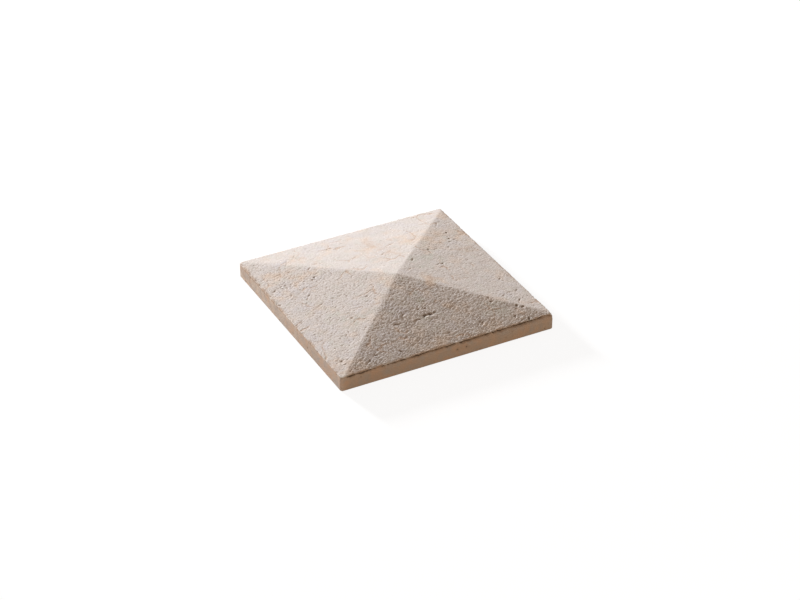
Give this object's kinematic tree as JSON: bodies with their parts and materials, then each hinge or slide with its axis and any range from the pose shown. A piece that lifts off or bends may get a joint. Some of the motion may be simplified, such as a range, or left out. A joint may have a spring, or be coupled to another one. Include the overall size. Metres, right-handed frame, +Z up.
{
  "type": "pier cap",
  "caption": "Square cast stone cap with a shallow pyramid top, smooth upright edges and a drip groove underneath, laid on a masonry pier to shed rain.",
  "frame": {"origin": "middle of the underside, on the plane the cap rests on", "axes": "+Z up through the apex, +X and +Y square to two of the upright sides"},
  "size_m": [0.5, 0.5, 0.07],
  "materials": {
    "cast_stone": "matt cast stone, rough cleft relief on the slopes and smooth tan sides"
  },
  "bodies": {
    "root": {"pier_cap": "cast_stone"}
  },
  "joints": []
}
